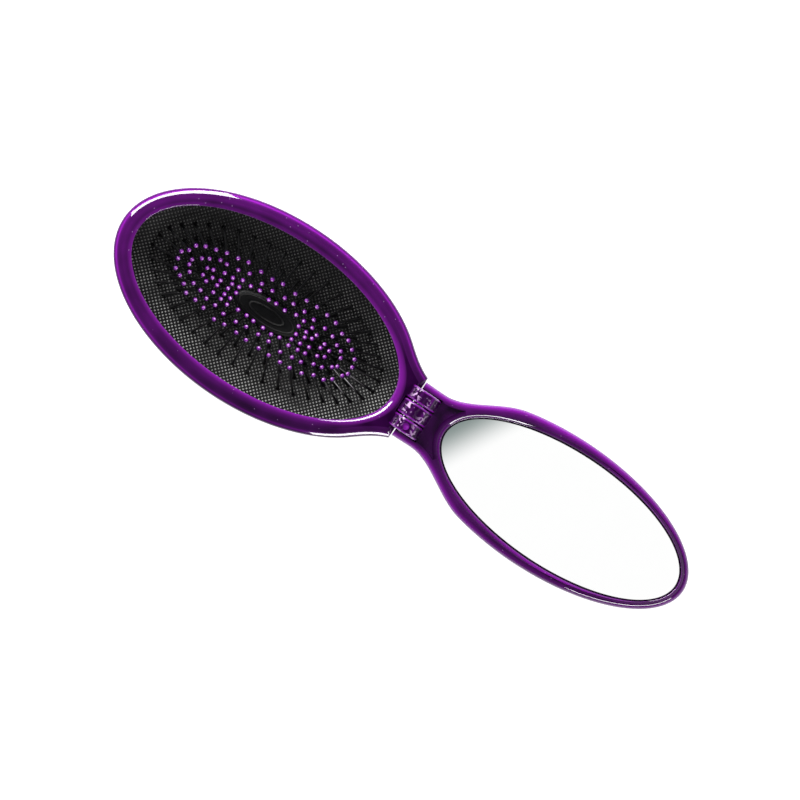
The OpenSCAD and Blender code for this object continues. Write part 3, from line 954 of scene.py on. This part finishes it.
# The balls' painted light: dark at the rim, bright violet in the middle, and a near-white painted highlight
# on the crown.
bead_plastic = candy_plastic("bead_plastic", (0.03, 0.001, 0.06), (0.34, 0.03, 0.5))
painted_highlight_bead = candy_plastic("painted_highlight_bead", (0.8, 0.46, 0.9), (0.34, 0.03, 0.5))


# Painted highlight: the shafts nearest to the hinge are painted near-white along one side,
# just under their balls, as if they caught the lamp: [level, degrees round the pad, width
# in degrees].
painted_shaft_glint_x, painted_shaft_glint = 33 * mm, (1.7, -9, 7)


def bristle_group(label, feet):
    """The bristles that move together, each a copy of the shape, leant over its foot."""
    bm = bmesh.new()
    painted_light = bm.verts.layers.float.new("painted_light")
    for foot, seed in feet:
        before = len(bm.verts)
        bm.from_mesh(bristle)
        bm.verts.ensure_lookup_table()
        fresh = bm.verts[before:]
        if foot.x > painted_shaft_glint_x:
            level, *place = painted_shaft_glint
            painted_shaft_highlight = level * peak(math.degrees(math.atan2(foot.y, foot.x)), *place)
            for v in fresh:
                at_end = abs(v.co.z - shaft_end * mm) < slack
                if at_end and v.co.y > 0.93 * shaft_end_r * mm:
                    v[painted_light] = painted_shaft_highlight
        lean = tip_from(foot, seed).to_track_quat("Z", "Y").to_matrix()
        bmesh.ops.rotate(bm, cent=(0, 0, 0), matrix=lean, verts=fresh)
        bmesh.ops.translate(bm, vec=foot + Vector((head_x, 0, pad_z)), verts=fresh)
    item = finished(f"tuft_of_bristles_{label}", bm)
    for material in (shaft_nylon, bead_plastic, painted_highlight_bead):
        item.data.materials.append(material)
    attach(item, f"tuft_{label}")
    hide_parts(f"bristles_{label}")


for row, sizes in enumerate(half_groups):
    inset = first_row + row * row_pitch
    a, b = pad_a - inset, pad_b - inset
    count, even = row_counts[row], row_evenness[row]
    start = -(sizes[0] // 2)
    for group, size in enumerate(sizes * 2):
        feet = []
        for i in range(start, start + size):
            share = (i % count + 0.5) / count
            degrees = (1 - even) * 360 * share + even * even_angle(a, b, share)
            flat = oval(a, b, math.radians(degrees))
            feet.append((Vector((flat.x, flat.y, -sink(inset))), 100 * row + i))
        start += size
        bristle_group(f"{row_names[row]}_{group + 1}", feet)

for side, label in ((1, "end_hinge"), (-1, "end_far")):
    feet = []
    for n, (x, number, spacing) in enumerate(end_columns):
        for j in range(number):
            y = (j - (number - 1) / 2) * spacing * mm
            foot = Vector((side * x * mm, y, pad_floor - pad_z))
            feet.append((foot, 400 + side * 20 + 4 * n + j))
    bristle_group(label, feet)

# ---- Hinge pin --------------------------------------------------------------------------
# A drawn steel pin, pressed through the head's knuckles. It is bright, with fine lines
# along it from the drawing die.


def drawn_steel():
    paint = bpy.data.materials.new("drawn_steel")
    paint.use_nodes = True
    nodes, links = paint.node_tree.nodes, paint.node_tree.links
    shader = nodes["Principled BSDF"]
    shader.inputs["Metallic"].default_value = 1
    stretched = nodes.new("ShaderNodeMapping")
    stretched.inputs["Scale"].default_value = (6 / mm, 0.2 / mm, 6 / mm)
    links.new(nodes.new("ShaderNodeTexCoord").outputs["Object"], stretched.inputs[0])
    lines = nodes.new("ShaderNodeTexNoise")
    lines.inputs["Scale"].default_value = 1
    lines.inputs["Detail"].default_value = 4
    links.new(stretched.outputs[0], lines.inputs["Vector"])
    colour = mixed(nodes, links, lines.outputs["Fac"], (0.26, 0.26, 0.28), (0.42, 0.42, 0.44))
    links.new(colour, shader.inputs["Base Color"])
    rough = spread(nodes, links, lines.outputs["Fac"], 0.16, 0.34)
    links.new(rough, shader.inputs["Roughness"])
    return paint


repaint("hinge_pin", drawn_steel())

# ---- Mirror half's frame ----------------------------------------------------------------
# The frame round the mirror, in the same clear violet plastic, with the middle knuckle, two
# flat tabs beside the head's knuckles, and a sunk web between the hinge and the mirror.

mirror_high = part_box("mirror_frame")[1]
glass_low, glass_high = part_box("mirror_glass")
mirror_a = 51 * mm
mirror_b = mirror_high.y
mirror_x = mirror_high.x - mirror_a
seat = 0.1 * mm
glass_x = (glass_low.x + glass_high.x) / 2
glass_a = (glass_high.x - glass_low.x) / 2 + seat
glass_b = glass_high.y + seat
tab_flare = 0.12 * mm
web_z = 18 * mm
middle_half = 2.6 * mm
turning_play = 0.05 * mm
middle_bore_reach = 5 * mm

# [inset from the outline, height, painted light]
bezel_skin = [
    (0.22, 13.4, 0.17), (0.06, 13.55, 0.2), (0, 13.9, 0.15), (0, 17.6, 0.18),
    (0.06, 18.3, 0.24), (0.2, 18.8, 0.44), (0.42, 19.12, 0.54), (0.72, 19.4, 0.52),
    (1.1, 19.65, 0.42), (1.5, 19.84, 0.24), (1.95, 19.96, 0.13), (2.25, 20, 0.1),
    (2.35, 20, 0.1),
]
# [outwards from the edge of the glass, height, painted light]; the lowest levels are a
# line of painted shade against the glass.
bezel_inside = [
    (0, 14.8, 0.01), (0, 18.4, 0.01), (0.06, 18.9, 0.01), (0.16, 19.3, 0.06),
    (0.3, 19.5, 0.3), (0.62, 19.7, 0.36), (0.95, 19.88, 0.26), (1.15, 19.98, 0.14),
    (1.22, 20, 0.11), (1.32, 20, 0.1),
]


def mirror_outline():
    leave, steps = 64, 92
    pull_oval, pull_neck = 9.2 * mm, 8 * mm
    curve = neck_curve(1, mirror_x, mirror_a, mirror_b, leave, pull_oval, pull_neck)
    side = [Vector((split_x + half_gap, neck_b + tab_flare))]
    side.append(Vector(((split_x + neck_x) / 2, neck_b + tab_flare / 3)))
    side += [bezier(curve, 1 - i / 24) for i in range(25)]
    for i in range(1, steps + 1):
        angle = math.radians((180 - leave) * (1 - i / steps))
        side.append(Vector((mirror_x, 0)) + oval(mirror_a, mirror_b, angle))
    return both_sides(side)


def bezel():
    bm = bmesh.new()
    foot, crest = rising_wall(bm, drawn_in(mirror_outline(), bezel_skin), painted_levels(bezel_skin))
    painted_light = bm.verts.layers.float["painted_light"]
    outside = set(bm.verts)
    paint_light_on_one_side(outside, painted_light, glass_x, swing=0.6)
    inner = oval_wall(glass_x, glass_a, glass_b, bezel_inside)
    shelf, inner_crest = rising_wall(bm, inner, painted_levels(bezel_inside))
    paint_light_on_one_side(set(bm.verts) - outside, painted_light, glass_x, swing=-0.65)
    fill_between(bm, crest, inner_crest)
    fill_between(bm, foot)
    fill_between(bm, shelf)
    return finished("mirror_bezel", bm)


def web_recess():
    """The tool that sinks the web: its sides follow the rails, its end follows the mirror."""
    rail, clear_height, steps = 2.8 * mm, 6 * mm, 12
    wide_a, wide_b = glass_a + rail, glass_b + rail
    outline = mirror_outline()
    left = hinge_x + 1 * mm
    upper = []
    for p, n in zip(outline, outward(outline, 0)):
        q = p - n * rail
        if ((q.x - glass_x) / wide_a) ** 2 + (q.y / wide_b) ** 2 < 1:
            break
        if q.x > left:
            upper.append(q)
    upper.insert(0, Vector((left, upper[0].y)))
    turn = math.atan2(upper[-1].y / wide_b, (upper[-1].x - glass_x) / wide_a)
    for i in range(1, steps + 1):
        angle = turn + (math.pi - turn) * i / steps
        upper.append(Vector((glass_x, 0)) + oval(wide_a, wide_b, angle))
    bm = bmesh.new()
    floor = bm.faces.new([bm.verts.new((p.x, p.y, web_z)) for p in both_sides(upper)])
    lifted = bmesh.ops.extrude_face_region(bm, geom=[floor])["geom"]
    top = [v for v in lifted if isinstance(v, bmesh.types.BMVert)]
    bmesh.ops.translate(bm, vec=(0, 0, clear_height), verts=top)
    return finished("tool", bm)


mirror_frame = bezel()
for side in (-1, 1):
    ends = sorted((side * (knuckle_inner - pocket_gap), side * (knuckle_outer + pocket_gap)))
    carve(mirror_frame, round_bar("tool", knuckle_r + pocket_gap, *ends))
carve(mirror_frame, web_recess())
middle_knuckle = round_bar("tool", knuckle_r, -middle_half, middle_half, edge=knuckle_rim)
carve(mirror_frame, middle_knuckle, "UNION")
middle_bore = round_bar(
    "tool", pin_r + turning_play, -middle_bore_reach, middle_bore_reach, sides=40
)
carve(mirror_frame, middle_bore)
# Painted light: the sunk web is painted a little brighter.
web_painted_light = mirror_frame.data.attributes["painted_light"].data
for v in mirror_frame.data.vertices:
    if abs(v.co.z - web_z) < slack and v.co.x > hinge_x:
        web_painted_light[v.index].value = 0.13
paint_hinge_light(mirror_frame)
dress(mirror_frame, violet)
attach(mirror_frame, "mirror")
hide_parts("mirror_frame")

# ---- Mirror half's back cover -----------------------------------------------------------
# The domed back of the mirror half, moulded in the same violet plastic and welded to the
# frame along a fine parting line.

cover_low, cover_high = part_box("mirror_cover")
hollow_inset, back_wall = 2.5 * mm, 1.6 * mm
# [inset from the outline, height over the cover's lowest place, painted light]
cover_skin = [
    (9, 0, 0.14), (7.9, 0.05, 0.15), (6.9, 0.13, 0.17), (5.8, 0.32, 0.21), (4.9, 0.6, 0.24),
    (3.95, 0.97, 0.28), (3.1, 1.4, 0.35), (2.25, 1.98, 0.42), (1.5, 2.64, 0.49),
    (0.95, 3.2, 0.52), (0.6, 3.61, 0.49), (0.3, 4.0, 0.42), (0.08, 4.2, 0.35), (0.2, 4.4, 0.21),
]


def back_cover():
    bm = bmesh.new()
    skin = [(inset, cover_low.z / mm + z, painted_light) for inset, z, painted_light in cover_skin]
    foot, edge = rising_wall(bm, drawn_in(mirror_outline(), skin), painted_levels(skin))
    hollow = [
        oval_loop(glass_x, glass_a - hollow_inset, glass_b - hollow_inset, z)
        for z in (cover_low.z + back_wall, cover_high.z)
    ]
    bottom, brim = rising_wall(bm, hollow, (0.2, 0.3))
    fill_between(bm, foot)
    fill_between(bm, edge, brim)
    fill_between(bm, bottom)
    return finished("mirror_back", bm)


back = back_cover()
dress(back, violet)
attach(back, "mirror")
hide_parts("mirror_cover")

# ---- Mirror -----------------------------------------------------------------------------
# A plate of silvered glass, cut to an oval and ground round its edge. It is pressed on to
# the foam tape in the frame.


def silvered_glass():
    paint = bpy.data.materials.new("silvered_glass")
    paint.use_nodes = True
    nodes, links = paint.node_tree.nodes, paint.node_tree.links
    shader = nodes["Principled BSDF"]
    shader.inputs["Metallic"].default_value = 1
    haze = nodes.new("ShaderNodeTexNoise")
    haze.inputs["Scale"].default_value = 0.15 / mm
    haze.inputs["Detail"].default_value = 5
    links.new(nodes.new("ShaderNodeTexCoord").outputs["Object"], haze.inputs["Vector"])
    colour = mixed(nodes, links, haze.outputs["Fac"], (0.985, 0.99, 0.985), (0.998, 1, 0.998))
    links.new(colour, shader.inputs["Base Color"])
    rough = spread(nodes, links, haze.outputs["Fac"], 0.005, 0.03, 0.45, 0.8)
    links.new(rough, shader.inputs["Roughness"])
    return paint


# [inset from the glass's edge, height over its back]
ground_edge = ((0.25, 0), (0, 0.2), (0, 1.5), (0.3, 1.8))

bm = bmesh.new()
loops = [
    oval_loop(glass_x, glass_a - seat - r * mm, glass_b - seat - r * mm, glass_low.z + z * mm)
    for r, z in ground_edge
]
bottom, top = rising_wall(bm, loops)
fill_between(bm, bottom)
fill_between(bm, top)
mirror_plate = finished("mirror_plate", bm)
dress(mirror_plate, silvered_glass(), sharp=20)
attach(mirror_plate, "mirror")
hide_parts("mirror_glass")

# ---- Foam tape --------------------------------------------------------------------------
# A sheet of white foam tape between the glass and the frame, sticky on both faces. It has
# the small cells of foamed rubber.

foam_dark, foam_light = (0.7, 0.7, 0.68), (0.88, 0.88, 0.86)
repaint("foam_tape", grainy_plastic("foam", foam_dark, foam_light, 8, 0.85))

bpy.context.view_layer.update()
